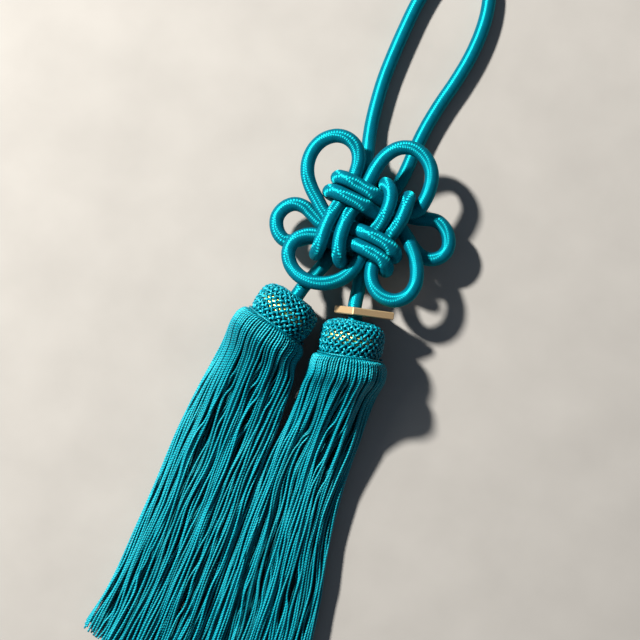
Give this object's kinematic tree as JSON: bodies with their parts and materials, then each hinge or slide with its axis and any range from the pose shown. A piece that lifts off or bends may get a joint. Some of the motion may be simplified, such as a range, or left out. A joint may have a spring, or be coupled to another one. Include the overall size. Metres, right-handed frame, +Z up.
{
  "type": "decorative tassel",
  "caption": "Decorative double tassel: one satin-wrapped cord tied in an ornamental woven knot with a hanging loop and two drum-headed fringes.",
  "frame": {"origin": "on the surface it lies on, under the middle of the box round everything but the hanging loop", "axes": "+Y from the fringe's cut ends to the hanging loop, +Z up from the surface, +X to the viewer's right"},
  "size_m": [0.0982, 0.3362, 0.0303],
  "materials": {
    "satin_cord": "teal satin thread wound round a cotton core",
    "net_thread": "teal twisted thread net with a little gold thread",
    "fringe_yarn": "teal two-ply rayon yarn",
    "brass": "brushed pale brass"
  },
  "bodies": {
    "root": {"hanging_loop": "satin_cord", "knot_cord_left": "satin_cord", "knot_cord_right": "satin_cord", "head_left": "net_thread", "head_right": "net_thread", "skirt_left": "fringe_yarn", "skirt_right": "fringe_yarn", "plate": "brass"}
  },
  "joints": []
}
